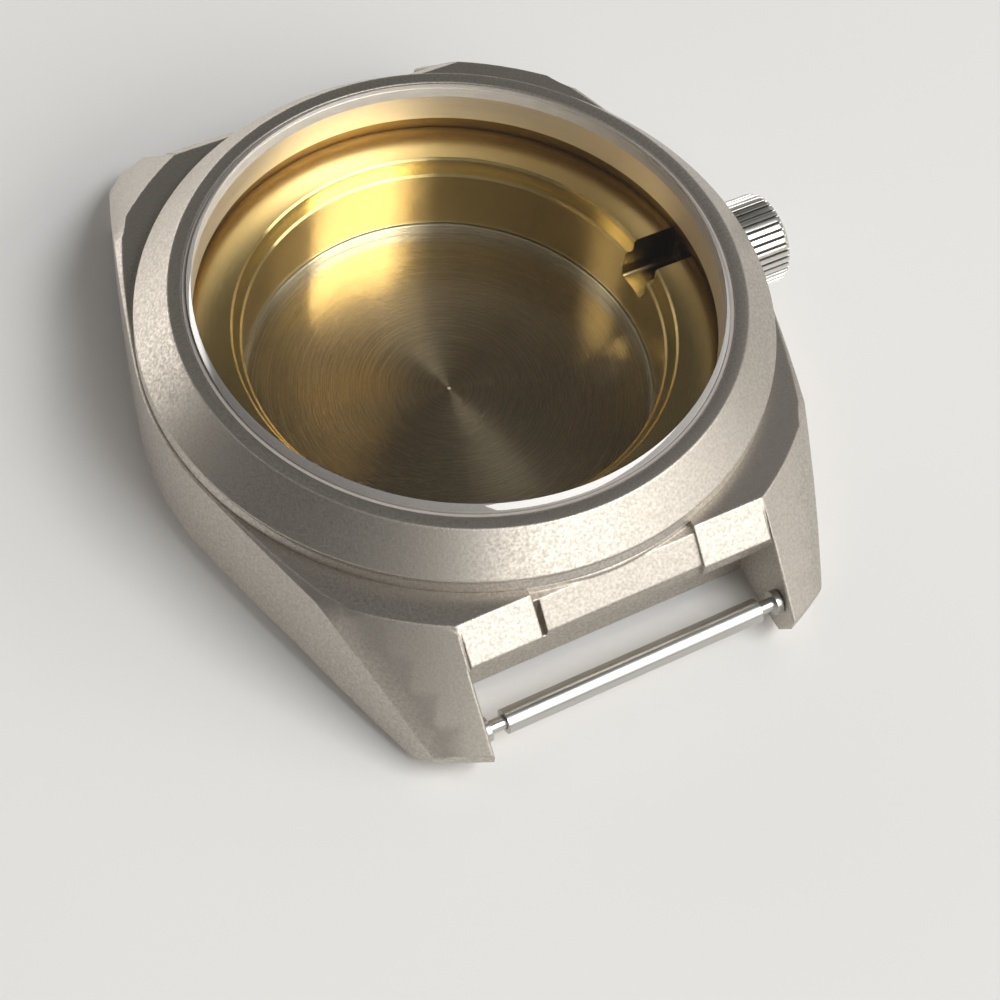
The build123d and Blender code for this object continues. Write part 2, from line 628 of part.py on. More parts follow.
# Spring bars
# Each has a barrel with crimped ends, two sprung tips and a coil between their heads
flange_outer_x = lug_face_x - tip_flange_gap
flange_inner_x = flange_outer_x - tip_flange_length
neck_inner_x = flange_inner_x - tip_neck_length
head_inner_x = neck_inner_x - tip_head_length
coil_half_length = head_inner_x - tip_travel - coil_end_gap
for hour, y in (("12", bar_y), ("6", -bar_y)):
    bar_plane = Plane(origin=(0, y, bar_z), x_dir=(1, 0, 0), z_dir=(0, -1, 0))
    bar_axis = Axis((0, y, bar_z), (1, 0, 0))
    with BuildPart() as barrel:
        with BuildSketch(bar_plane):
            with BuildLine():
                Polyline(
                    (-bar_half_length, bar_radius), (-bar_half_length, bar_crimp_radius),
                    (bar_crimp_length - bar_half_length, bar_crimp_radius),
                    (bar_crimp_length - bar_half_length, bar_bore_radius),
                    (bar_half_length - bar_crimp_length, bar_bore_radius),
                    (bar_half_length - bar_crimp_length, bar_crimp_radius),
                    (bar_half_length, bar_crimp_radius), (bar_half_length, bar_radius), close=True)
            make_face()
        revolve(axis=bar_axis)
    barrel.part.label = "spring_bar_" + hour + "_barrel"
    export_step(barrel.part, "parts/spring_bar_" + hour + "_barrel.step")
    for word, side in (("right", 1), ("left", -1)):
        with BuildPart() as bar_tip:
            with BuildSketch(bar_plane):
                with BuildLine():
                    Polyline(
                        (side * head_inner_x, 0), (side * head_inner_x, tip_head_radius),
                        (side * neck_inner_x, tip_head_radius), (side * neck_inner_x, tip_neck_radius),
                        (side * flange_inner_x, tip_neck_radius), (side * flange_inner_x, tip_flange_radius),
                        (side * flange_outer_x, tip_flange_radius),
                        (side * flange_outer_x, lug_hole_radius - tip_pin_clearance),
                        (side * (lug_face_x + tip_pin_reach - tip_pin_edge), lug_hole_radius - tip_pin_clearance),
                        (side * (lug_face_x + tip_pin_reach), lug_hole_radius - tip_pin_clearance - tip_pin_edge),
                        (side * (lug_face_x + tip_pin_reach), 0), close=True)
                make_face()
            revolve(axis=bar_axis)
        bar_tip.part.label = "spring_bar_" + hour + "_tip_" + word
        export_step(bar_tip.part, "parts/spring_bar_" + hour + "_tip_" + word + ".step")
    with BuildPart() as coil:
        with BuildSketch(bar_plane):
            with BuildLine():
                Polyline(
                    (-coil_half_length, coil_radius), (-coil_half_length, coil_bore_radius),
                    (coil_half_length, coil_bore_radius), (coil_half_length, coil_radius), close=True)
            make_face()
        revolve(axis=bar_axis)
    coil.part.label = "spring_bar_" + hour + "_spring"
    export_step(coil.part, "parts/spring_bar_" + hour + "_spring.step")
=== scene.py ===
import math

import bmesh
import bpy
from mathutils import Matrix, Vector


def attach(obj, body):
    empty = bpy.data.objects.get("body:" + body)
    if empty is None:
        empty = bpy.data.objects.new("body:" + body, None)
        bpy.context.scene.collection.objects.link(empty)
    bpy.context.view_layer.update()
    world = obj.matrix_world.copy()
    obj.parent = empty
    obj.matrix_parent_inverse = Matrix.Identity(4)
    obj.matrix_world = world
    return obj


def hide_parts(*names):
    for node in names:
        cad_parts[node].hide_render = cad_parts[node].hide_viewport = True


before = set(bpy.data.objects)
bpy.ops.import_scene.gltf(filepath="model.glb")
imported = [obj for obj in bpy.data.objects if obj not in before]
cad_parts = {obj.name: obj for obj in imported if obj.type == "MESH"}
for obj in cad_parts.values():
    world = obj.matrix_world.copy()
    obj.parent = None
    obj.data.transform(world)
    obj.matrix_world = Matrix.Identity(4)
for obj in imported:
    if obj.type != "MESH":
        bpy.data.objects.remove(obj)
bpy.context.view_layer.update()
MM = 0.001


# Mid case
# The real one is a milled steel block: band, four lugs with turned facets and sloping end pieces.
# Every outer face is bead blasted, which leaves a fine even speckle and slightly softened edges.

def feed(link, socket, value):
    """Gives a node's input another socket, a plain number or an (r, g, b) colour."""
    if isinstance(value, bpy.types.NodeSocket):
        link(value, socket)
    else:
        socket.default_value = (*value, 1) if isinstance(value, tuple) else value


def noise(nodes, link, scale, detail=2.0, rough=0.5, vector=None):
    """Random grain from 0 to 1. Scale is in grains per metre of the piece's own coordinates."""
    if vector is None:
        vector = nodes.new("ShaderNodeTexCoord").outputs["Object"]
    grain = nodes.new("ShaderNodeTexNoise")
    grain.inputs["Detail"].default_value = detail
    grain.inputs["Roughness"].default_value = rough
    feed(link, grain.inputs["Scale"], scale)
    link(vector, grain.inputs["Vector"])
    return grain.outputs["Fac"]


def ranged(nodes, link, value, start=0.0, end=1.0, low=0.0, high=1.0, kind="LINEAR"):
    """Carries a value's run from start to end over to the run from low to high."""
    node = nodes.new("ShaderNodeMapRange")
    node.interpolation_type = kind
    for name, given in (("Value", value), ("From Min", start), ("From Max", end),
                        ("To Min", low), ("To Max", high)):
        feed(link, node.inputs[name], given)
    return node.outputs["Result"]


def mixed(nodes, link, factor, first, second, kind="RGBA"):
    """A mix of two colours or, as FLOAT, of two numbers. Each of them may be a socket."""
    node = nodes.new("ShaderNodeMix")
    node.data_type = kind
    for name, given in (("Factor", factor), ("A", first), ("B", second)):
        feed(link, node.inputs[name], given)
    return node.outputs["Result"]


def math_node(nodes, link, operation, *values):
    """One sum, product or other operation on sockets and plain numbers."""
    node = nodes.new("ShaderNodeMath")
    node.operation = operation
    for socket, value in zip(node.inputs, values):
        feed(link, socket, value)
    return node.outputs["Value"]


def joined(nodes, link, operation, *masks):
    """Several masks in one, by MULTIPLY or MAXIMUM."""
    whole = masks[0]
    for mask in masks[1:]:
        whole = math_node(nodes, link, operation, whole, mask)
    return whole


def span(nodes, link, value, none, full):
    """A mask from a length in mm: 0 at the first, 1 at the second."""
    return ranged(nodes, link, value, none * MM, full * MM)


def places(nodes, link, across=(1, 1, 0), centre=(0, 0, 0)):
    """X, Y, Z and the distance from an axis through the centre. Across is 0 along the axis."""
    place = nodes.new("ShaderNodeTexCoord").outputs["Object"]
    flat = nodes.new("ShaderNodeVectorMath")
    flat.operation = "MULTIPLY"
    flat.inputs[1].default_value = across
    link(place, flat.inputs[0])
    far = nodes.new("ShaderNodeVectorMath")
    far.operation = "DISTANCE"
    far.inputs[1].default_value = centre
    link(flat.outputs["Vector"], far.inputs[0])
    split = nodes.new("ShaderNodeSeparateXYZ")
    link(place, split.inputs["Vector"])
    return split.outputs["X"], split.outputs["Y"], split.outputs["Z"], far.outputs["Value"]


def plain_material(name, fixed):
    """A new material, with the values of its Principled shader that are the same all over."""
    material = bpy.data.materials.new(name)
    material.use_nodes = True
    nodes, link = material.node_tree.nodes, material.node_tree.links.new
    shader = nodes["Principled BSDF"]
    for label, value in fixed.items():
        feed(link, shader.inputs[label], value)
    return material, nodes, link, shader


def laid_over(nodes, link, shader, label, mask, value):
    """Puts another colour or number over what feeds a shader's input, where the mask is 1."""
    below = shader.inputs[label].links[0].from_socket
    kind = "RGBA" if isinstance(value, tuple) else "FLOAT"
    link(mixed(nodes, link, mask, below, value, kind), shader.inputs[label])


def softened_edges(nodes, link, shader, reach, height=None, depth=0.0, strength=1.0):
    """Rounds the look of machined edges by a small radius and adds the skin's own relief."""
    edge = nodes.new("ShaderNodeBevel")
    edge.samples = 6
    edge.inputs["Radius"].default_value = reach
    if height is None:
        link(edge.outputs["Normal"], shader.inputs["Normal"])
        return
    bump = nodes.new("ShaderNodeBump")
    bump.inputs["Strength"].default_value = strength
    bump.inputs["Distance"].default_value = depth
    link(height, bump.inputs["Height"])
    link(edge.outputs["Normal"], bump.inputs["Normal"])
    link(bump.outputs["Normal"], shader.inputs["Normal"])


def skin_group(name, inputs):
    """A shader group for a metal skin: named inputs, and its colour, roughness and height."""
    group = bpy.data.node_groups.new(name, "ShaderNodeTree")
    socket = group.interface.new_socket
    for label, value in inputs:
        if isinstance(value, tuple):
            socket(label, in_out="INPUT", socket_type="NodeSocketColor").default_value = (*value, 1)
        else:
            socket(label, in_out="INPUT", socket_type="NodeSocketFloat").default_value = value
    socket("Color", in_out="OUTPUT", socket_type="NodeSocketColor")
    socket("Roughness", in_out="OUTPUT", socket_type="NodeSocketFloat")
    socket("Height", in_out="OUTPUT", socket_type="NodeSocketFloat")
    nodes = group.nodes
    source, out = nodes.new("NodeGroupInput"), nodes.new("NodeGroupOutput")
    return group, nodes, group.links.new, source.outputs, out.inputs


# Speckle, patchiness and pits of a bead-blasted metal skin: grains of 0.2 mm, patches of 3 mm
BLASTED_SKIN, nodes, link, given, out = skin_group("blasted_skin", (
    ("Light metal", (0.62, 0.575, 0.515)), ("Dark metal", (0.44, 0.405, 0.36)),
    ("Speckle scale", 5200.0), ("Roughness low", 0.36), ("Roughness high", 0.50)))
speckle = noise(nodes, link, given["Speckle scale"], 2.0, 0.65)
patches = noise(nodes, link, 330.0, 1.0)
tone = mixed(nodes, link, 0.14, ranged(nodes, link, speckle, 0.34, 0.66), patches, "FLOAT")
link(mixed(nodes, link, tone, given["Dark metal"], given["Light metal"]), out["Color"])
link(ranged(nodes, link, tone, low=given["Roughness high"], high=given["Roughness low"]),
     out["Roughness"])
link(speckle, out["Height"])

blasted, nodes, link, shader = plain_material("blasted_steel", {"Metallic": 1.0})
skin = nodes.new("ShaderNodeGroup")
skin.node_tree = BLASTED_SKIN
link(skin.outputs["Color"], shader.inputs["Base Color"])
link(skin.outputs["Roughness"], shader.inputs["Roughness"])
softened_edges(nodes, link, shader, 0.16 * MM, skin.outputs["Height"], 0.010 * MM, 0.6)
# The bores, inside the neck's radius and below the band's top, are painted dark: painted shade for
# the shadow under the bezel's lip and in the end of the stem slot
_, _, z, far = places(nodes, link)
bore_shade = joined(nodes, link, "MULTIPLY", span(nodes, link, far, 17.38, 17.30),
               span(nodes, link, z, 8.62, 8.56))
laid_over(nodes, link, shader, "Base Color", bore_shade, (0.25, 0.155, 0.055))

# Vertices this near, in metres, are one
WELD = 2e-7


def placed(name, data):
    """A new object with its data, in the scene."""
    obj = bpy.data.objects.new(name, data)
    bpy.context.scene.collection.objects.link(obj)
    return obj


def outward(obj, soften=None):
    """Merges doubles and turns all faces outwards, shaded smooth up to an angle if one is given."""
    work = bmesh.new()
    work.from_mesh(obj.data)
    bmesh.ops.remove_doubles(work, verts=work.verts, dist=WELD)
    bmesh.ops.recalc_face_normals(work, faces=work.faces)
    if soften is not None:
        for side in work.faces:
            side.smooth = True
        for edge in work.edges:
            edge.smooth = edge.calc_face_angle(0.0) < math.radians(soften)
    work.to_mesh(obj.data)
    work.free()


def prism(name, x_low, x_high, side):
    """A cutter: a side outline of (y, z) points in mm, from one x to another."""
    mesh = bpy.data.meshes.new(name)
    n = len(side)
    spots = [(x * MM, y * MM, z * MM) for x in (x_low, x_high) for y, z in side]
    faces = [tuple(range(n)), tuple(range(2 * n - 1, n - 1, -1))]
    faces += [(i, (i + 1) % n, n + (i + 1) % n, n + i) for i in range(n)]
    mesh.from_pydata(spots, [], faces)
    obj = placed(name, mesh)
    outward(obj)
    return obj


def settled(obj):
    """Takes the evaluated mesh as the object's own and drops its modifiers."""
    graph = bpy.context.evaluated_depsgraph_get()
    mesh = bpy.data.meshes.new_from_object(obj.evaluated_get(graph))
    obj.modifiers.clear()
    obj.data = mesh


def made_plain(obj, soften=30.0):
    """Makes the evaluated object a plain closed mesh. Edges under soften degrees look smooth."""
    settled(obj)
    outward(obj, soften)
    obj.modifiers.new("weigh", "WEIGHTED_NORMAL").keep_sharp = True
    settled(obj)


def machined_copy(node, name, cutters):
    """A merged copy of a CAD node with fine cuts in it."""
    obj = placed(name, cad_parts[node].data.copy())
    if "custom_normal" in obj.data.attributes:
        obj.data.attributes.remove(obj.data.attributes["custom_normal"])
    outward(obj)
    for tool in cutters:
        cut = obj.modifiers.new("cut", "BOOLEAN")
        cut.operation = "DIFFERENCE"
        cut.solver = "EXACT"
        cut.object = tool
    bpy.context.view_layer.update()
    made_plain(obj, 24.0)
    for tool in cutters:
        bpy.data.objects.remove(tool)
    return obj


# Fine cuts in each end piece, as (y, z) outlines in mm and as distances beside its middle: a
# relief slot at the left end of the lowered part, seen from outside, and a seam at each lug
relief = ((19.1, 9.2), (21.6, 9.2), (21.6, 6.3), (19.1, 6.3))
relief_from, relief_to = 5.33, 4.87
seam = ((19.0, 8.6), (18.95, 9.2), (21.4, 9.2), (21.4, 5.6))
seam_from, seam_to = 9.86, 10.01
cutters = []
for end in (-1, 1):
    cutters.append(prism("relief_cutter", end * relief_from, end * relief_to,
                         [(end * y, z) for y, z in relief]))
    for side in (-1, 1):
        cutters.append(prism("seam_cutter", side * seam_from, side * seam_to,
                             [(end * y, z) for y, z in seam]))
case = machined_copy("mid_case", "case_block", cutters)
case.data.materials.clear()
case.data.materials.append(blasted)
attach(case, "case")
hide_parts("mid_case")


# Bezel
# A turned steel ring pressed over the neck: upright foot, wide cone, narrow flat land.
# It is blasted like the case, so cone and land differ only by the light they catch.

# Radii and heights in mm. The bezel sits on the band, round the neck that stands on it
BEZEL_RADIUS = 19.2
NECK_RADIUS = 17.4
GLASS_BORE = 16.3
BAND_TOP = 8.65
NECK_TOP = 10.2
BEZEL_TOP = 11.9


def eased(points, steps=4):
    """Profile corners (r, z, radius) in mm, rounded to arcs. Returns a run of (r, z)."""
    run = []
    for i, (r, z, radius) in enumerate(points):
        here = Vector((r, z))
        if radius == 0:
            run.append(here)
            continue
        before = Vector(points[i - 1][:2]) - here
        after = Vector(points[(i + 1) % len(points)][:2]) - here
        half = before.angle(after) / 2
        # Two neighbouring arcs never meet
        reach = min(radius / math.tan(half), 0.49 * before.length, 0.49 * after.length)
        radius = reach * math.tan(half)
        start, end = here + before.normalized() * reach, here + after.normalized() * reach
        inward = (before.normalized() + after.normalized()).normalized()
        centre = here + inward * (radius / math.sin(half))
        for k in range(steps + 1):
            spot = start.lerp(end, k / steps) - centre
            run.append(centre + spot.normalized() * radius)
    return run


def shape_tree(name, piece, sizes):
    """A Geometry Nodes tree that takes a piece's mesh, its named sizes and its finish."""
    tree = bpy.data.node_groups.new(name, "GeometryNodeTree")
    socket = tree.interface.new_socket
    socket(piece, in_out="INPUT", socket_type="NodeSocketGeometry")
    for label, value in sizes:
        kind = "NodeSocketInt" if isinstance(value, int) else "NodeSocketFloat"
        socket(label, in_out="INPUT", socket_type=kind).default_value = value
    socket("Finish", in_out="INPUT", socket_type="NodeSocketMaterial")
    socket("Shape", in_out="OUTPUT", socket_type="NodeSocketGeometry")
    given, out = tree.nodes.new("NodeGroupInput"), tree.nodes.new("NodeGroupOutput")
    return tree, tree.nodes, tree.links.new, given.outputs, out.inputs


def finished(nodes, link, geometry, given, out):
    """Ends a Geometry Nodes tree: instances are made real and the finish is put on."""
    real = nodes.new("GeometryNodeRealizeInstances")
    finish = nodes.new("GeometryNodeSetMaterial")
    link(geometry, real.inputs["Geometry"])
    link(real.outputs["Geometry"], finish.inputs["Geometry"])
    link(given["Finish"], finish.inputs["Material"])
    link(finish.outputs["Geometry"], out["Shape"])


def shaped(obj, tree, values):
    """Puts a Geometry Nodes tree on an object, its inputs set by their sockets' identifiers."""
    modifier = obj.modifiers.new(tree.name, "NODES")
    modifier.node_group = tree
    for item in tree.interface.items_tree:
        if item.item_type == "SOCKET" and item.in_out == "INPUT" and item.name in values:
            modifier[item.identifier] = values[item.name]
    bpy.context.view_layer.update()


# A profile swept round the Z axis, as a lathe does
TURNED, nodes, link, given, out = shape_tree("turned_ring", "Profile", (
    ("Steps", 256), ("Sweep radius", 0.01)))
profile = nodes.new("GeometryNodeMeshToCurve")
circle = nodes.new("GeometryNodeCurvePrimitiveCircle")
sweep = nodes.new("GeometryNodeCurveToMesh")
merge = nodes.new("GeometryNodeMergeByDistance")
merge.inputs["Distance"].default_value = 1e-6
link(given["Profile"], profile.inputs["Mesh"])
link(given["Steps"], circle.inputs["Resolution"])
link(given["Sweep radius"], circle.inputs["Radius"])
link(circle.outputs["Curve"], sweep.inputs["Curve"])
link(profile.outputs["Curve"], sweep.inputs["Profile Curve"])
link(sweep.outputs["Mesh"], merge.inputs["Geometry"])
finished(nodes, link, merge.outputs["Geometry"], given, out)


def turned_piece(name, corners, material, steps=288):
    """A lathe-turned ring or disc from its profile corners (r, z, edge radius) in mm."""
    run = eased(corners)
    mean = (min(p.x for p in run) + max(p.x for p in run)) / 2
    edges = [(i, i + 1) for i in range(len(run) - 1)]
    # A disc's profile starts and ends on the axis, a ring's comes back to its start
    if run[0].x > 0 or run[-1].x > 0:
        edges.append((len(run) - 1, 0))
    mesh = bpy.data.meshes.new(name)
    mesh.from_pydata([((p.x - mean) * MM, -p.y * MM, 0) for p in run], edges, [])
    obj = placed(name, mesh)
    shaped(obj, TURNED, {"Steps": steps, "Sweep radius": mean * MM, "Finish": material})
    made_plain(obj)
    return obj


# The cove in the foot draws a double line round it
bezel_ring = turned_piece("bezel_ring", (
    (NECK_RADIUS, BAND_TOP, 0.05), (BEZEL_RADIUS, BAND_TOP, 0.05), (BEZEL_RADIUS, 8.80, 0.05),
    (19.0, 9.28, 0.3), (BEZEL_RADIUS, 9.72, 0.06), (17.13, BEZEL_TOP, 0.12),
    (GLASS_BORE, BEZEL_TOP, 0.05), (GLASS_BORE, NECK_TOP, 0), (NECK_RADIUS, NECK_TOP, 0)), blasted)
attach(bezel_ring, "case")
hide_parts("bezel")


# Seals
# Moulded black rubber rings at bezel, case back, crown tube and crown, and a thin pale plastic
# ring that the crystal is pressed into.

def dress(node, material):
    """Gives a CAD node's own mesh its finish."""
    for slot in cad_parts[node].material_slots:
        slot.material = material


rubber, nodes, link, shader = plain_material("seal_rubber", {"Base Color": (0.018, 0.017, 0.016)})
link(ranged(nodes, link, noise(nodes, link, 4000.0), low=0.45, high=0.7),
     shader.inputs["Roughness"])
for seal in ("bezel_gasket", "case_back_gasket", "crown_tube_gasket", "crown_gasket"):
    dress(seal, rubber)

seal_plastic, nodes, link, shader = plain_material("crystal_seal_plastic", {"Roughness": 0.35})
link(mixed(nodes, link, noise(nodes, link, 900.0), (0.42, 0.385, 0.36), (0.52, 0.48, 0.45)),
     shader.inputs["Base Color"])
GLASS_FOOT = 11.05
SEAL_BORE = 16.065
SEAL_TOP = 11.82
crystal_seal = turned_piece("crystal_seal", (
    (SEAL_BORE, GLASS_FOOT, 0), (GLASS_BORE, GLASS_FOOT, 0),
    (GLASS_BORE, SEAL_TOP, 0.04), (SEAL_BORE, SEAL_TOP, 0.04)), seal_plastic)
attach(crystal_seal, "case")
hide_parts("crystal_gasket")


# Inner ring under the crystal
# Turned steel with a satin polish: a narrow upright wall that takes on the colour of the brass
# below it. Its flange is held in the neck, under the bezel, and the crystal stands on its top.

# Fine concentric tool marks of a lathe, with slow drift: they follow radius and height together,
# so that they run round flat faces and bores alike
TURNING_LINES, nodes, link, given, out = skin_group("turning_lines", (
    ("Rings per metre", 9000.0), ("Roughness low", 0.2), ("Roughness high", 0.34),
    ("Light metal", (0.86, 0.64, 0.3)), ("Dark metal", (0.74, 0.52, 0.21))))
_, _, z, far = places(nodes, link)
rings = nodes.new("ShaderNodeTexNoise")
rings.noise_dimensions = "1D"
rings.inputs["Detail"].default_value = 3.0
rings.inputs["Roughness"].default_value = 0.7
link(math_node(nodes, link, "ADD", z, far), rings.inputs["W"])
link(given["Rings per metre"], rings.inputs["Scale"])
drift = noise(nodes, link, 260.0)
drifting = mixed(nodes, link, 0.12, rings.outputs["Fac"], drift, "FLOAT")
tone = ranged(nodes, link, drifting, 0.35, 0.65)
link(mixed(nodes, link, tone, given["Dark metal"], given["Light metal"]), out["Color"])
link(ranged(nodes, link, tone, low=given["Roughness low"], high=given["Roughness high"]),
     out["Roughness"])
link(rings.outputs["Fac"], out["Height"])


def turned_metal(name, light, dark, low, high, stretch, rings, relief, edge):
    """A lathe-turned metal: tool marks, highlights stretched round the Z axis, soft edges.

    Roughness runs from low to high, rings are per metre, relief and edge are in mm.
    """
    material, nodes, link, shader = plain_material(name, {
        "Metallic": 1.0, "Anisotropic": stretch, "Anisotropic Rotation": 0.25})
    lines = nodes.new("ShaderNodeGroup")
    lines.node_tree = TURNING_LINES
    for label, value in (("Light metal", light), ("Dark metal", dark), ("Roughness low", low),
                         ("Roughness high", high), ("Rings per metre", rings)):
        feed(link, lines.inputs[label], value)
    round_axis = nodes.new("ShaderNodeTangent")
    round_axis.direction_type = "RADIAL"
    round_axis.axis = "Z"
    link(round_axis.outputs["Tangent"], shader.inputs["Tangent"])
    link(lines.outputs["Color"], shader.inputs["Base Color"])
    link(lines.outputs["Roughness"], shader.inputs["Roughness"])
    softened_edges(nodes, link, shader, edge * MM, lines.outputs["Height"], relief * MM, 0.5)
    return material, nodes, link, shader


ring_steel = turned_metal(
    "polished_ring_steel", light=(0.90, 0.81, 0.73), dark=(0.83, 0.74, 0.66), low=0.42, high=0.52,
    stretch=0.3, rings=7000.0, relief=0.0006, edge=0.04)[0]
RING_FOOT = 8.55
FLANGE_RADIUS = 16.7
rehaut = turned_piece("inner_ring", (
    (15.75, RING_FOOT, 0.04), (FLANGE_RADIUS, RING_FOOT, 0.05), (FLANGE_RADIUS, NECK_TOP, 0.03),
    (GLASS_BORE, NECK_TOP, 0.03), (GLASS_BORE, GLASS_FOOT, 0.03), (15.96, GLASS_FOOT, 0.03),
    (15.80, 10.45, 0.02)), ring_steel)
# The top of its inner face stands for the seal, which shows pale through the crystal's rim
SKIRT_FOOT, SKIRT_TOP, SKIRT_RADIUS = 10.43 * MM, 11.02 * MM, 16.0 * MM
rehaut.data.materials.append(seal_plastic)
for side in rehaut.data.polygons:
    if SKIRT_FOOT < side.center.z < SKIRT_TOP and side.center.xy.length < SKIRT_RADIUS:
        side.material_index = 1
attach(rehaut, "case")
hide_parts("rehaut_ring")


# Crystal
# A flat sapphire disc with a polished bevel round its top edge, pressed into its plastic ring.
# Its side is ground and not clear, and shows the seal. The bevel is opaque, painted grey for the
# light inside the glass.

crystal_glass, nodes, link, shader = plain_material("sapphire_glass", {
    "Base Color": (0.99, 0.995, 0.985), "Metallic": 0.0, "Roughness": 0.0, "IOR": 1.76,
    "Specular IOR Level": 0.25, "Transmission Weight": 1.0})
# Light reaches the inside through it
clear = nodes.new("ShaderNodeBsdfTransparent")
clear.inputs["Color"].default_value = (0.86, 0.87, 0.85, 1)
through = nodes.new("ShaderNodeMixShader")
ray = nodes.new("ShaderNodeLightPath")
link(ray.outputs["Is Shadow Ray"], through.inputs["Fac"])
link(shader.outputs["BSDF"], through.inputs[1])
link(clear.outputs["BSDF"], through.inputs[2])
link(through.outputs["Shader"], nodes["Material Output"].inputs["Surface"])

# The bevel's grey is painted light that stands for light bouncing inside the glass; its coat
# mirrors the room
bevel_painted_light, nodes, link, shader = plain_material("crystal_bevel_painted_light", {
    "Roughness": 0.4, "Coat Weight": 1.0, "Coat Roughness": 0.03, "Coat IOR": 2.4})
link(mixed(nodes, link, noise(nodes, link, 6000.0), (0.25, 0.235, 0.225), (0.35, 0.33, 0.315)),
     shader.inputs["Base Color"])

GLASS_RADIUS = 16.04
GLASS_TOP = 12.35
BEVEL_FOOT = 12.05
BEVEL_TOP_RADIUS = 15.75
glass = turned_piece("crystal_disc", (
    (0, GLASS_FOOT, 0), (GLASS_RADIUS, GLASS_FOOT, 0.1), (GLASS_RADIUS, BEVEL_FOOT, 0.03),
    (BEVEL_TOP_RADIUS, GLASS_TOP, 0.03), (0, GLASS_TOP, 0)), crystal_glass)
glass.data.materials.append(bevel_painted_light)
glass.data.materials.append(seal_plastic)
# The two flat faces stay clear. On the rim, the bevel is above this height and the wall below it
RIM_RADIUS, BEVEL_FROM = 15.7 * MM, 12.04 * MM
for side in glass.data.polygons:
    is_flat = abs(side.normal.z) >= 0.97
    if not is_flat and side.center.xy.length > RIM_RADIUS:
        side.material_index = 1 if side.center.z > BEVEL_FROM else 2
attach(glass, "case")
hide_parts("crystal")


# Movement ring
# Turned brass with the tool's rings left on it: wide flat top, stepped dial seat, plain bore
# and one milled slot for the stem.

brass, nodes, link, shader = turned_metal(
    "turned_brass", light=(0.91, 0.73, 0.36), dark=(0.84, 0.64, 0.275), low=0.15, high=0.21,
    stretch=0.92, rings=20000.0, relief=0.0005, edge=0.02)
# Under the lip and in the slot, where little light reaches, the brass's colour is painted dark as
# painted shade
x, y, z, far = places(nodes, link)
beside = math_node(nodes, link, "ABSOLUTE", y)
in_slot = joined(nodes, link, "MULTIPLY", span(nodes, link, beside, 1.40, 1.34),
                 span(nodes, link, x, 13.9, 15.3), span(nodes, link, z, 7.33, 7.2))
under_lip = span(nodes, link, far, 15.72, 16.15)
lip_and_slot_shade = joined(nodes, link, "MAXIMUM", under_lip, in_slot)
laid_over(nodes, link, shader, "Base Color", lip_and_slot_shade, (0.19, 0.115, 0.035))
dress("movement_ring", brass)


# Case back
# Stainless steel, faced on the lathe: dished inside with a fine sunburst of turning marks,
# plain outside with a bevelled rim and six key notches.

# Its warm colours are a painted reflection of the brass, laid over with the steel's own colour
# outside
back_steel, nodes, link, shader = turned_metal(
    "faced_steel", light=(0.55, 0.45, 0.30), dark=(0.47, 0.38, 0.25), low=0.12, high=0.29,
    stretch=0.97, rings=60000.0, relief=0.0002, edge=0.10)
# The dish's warm, darker tone is a painted reflection of the brass above it, the outside keeps the
# steel's own colour, the dish's rim has a painted highlight, and the tool's last touch leaves a
# dull dot in the middle
_, _, z, far = places(nodes, link)
dot = span(nodes, link, far, 0.13, 0.06)
rim = joined(nodes, link, "MULTIPLY", span(nodes, link, far, 12.55, 12.62),
             span(nodes, link, z, 1.0, 1.1))
dot_and_rim_highlight = joined(nodes, link, "MAXIMUM", dot, rim)
outside = span(nodes, link, z, 0.96, 0.90)
laid_over(nodes, link, shader, "Base Color", dot_and_rim_highlight, (0.92, 0.89, 0.82))
laid_over(nodes, link, shader, "Base Color", outside, (0.60, 0.58, 0.545))
laid_over(nodes, link, shader, "Roughness", dot, 0.6)
dress("case_back", back_steel)


# Crown, its post and its tube
# The tube is pressed into the flank. The crown is turned and fluted steel, polished, with a low
# domed end, and a threaded post on its axis takes the stem.

polished, nodes, link, shader = plain_material("polished_steel_finish", {"Metallic": 1.0})
hairs = noise(nodes, link, 2500.0)
link(ranged(nodes, link, hairs, low=0.12, high=0.24), shader.inputs["Roughness"])
link(mixed(nodes, link, hairs, (0.70, 0.68, 0.64), (0.80, 0.78, 0.74)),
     shader.inputs["Base Color"])
softened_edges(nodes, link, shader, 0.04 * MM)
for turned in ("crown_tube", "crown_post"):
    dress(turned, polished)

# Height of the crown's axis above the case back's outer face, and its radius, in mm
CROWN_Z = 5.17
CROWN_RADIUS = 3.0

# The grooves are painted dark, as painted shade for the shadow that falls in them; crests and dome
# keep the steel's colour
fluted, nodes, link, shader = plain_material("fluted_crown_steel", {"Metallic": 1.0})
x, _, _, off_axis = places(nodes, link, (0, 1, 1), (0, 0, CROWN_Z * MM))
crests = span(nodes, link, off_axis, 2.88, 2.96)
dome = span(nodes, link, x, 22.66, 22.78)
crests_and_dome = joined(nodes, link, "MAXIMUM", crests, dome)
link(mixed(nodes, link, crests_and_dome, (0.12, 0.115, 0.105), (0.72, 0.70, 0.66)),
     shader.inputs["Base Color"])
link(ranged(nodes, link, noise(nodes, link, 2500.0), low=0.24, high=0.36),
     shader.inputs["Roughness"])


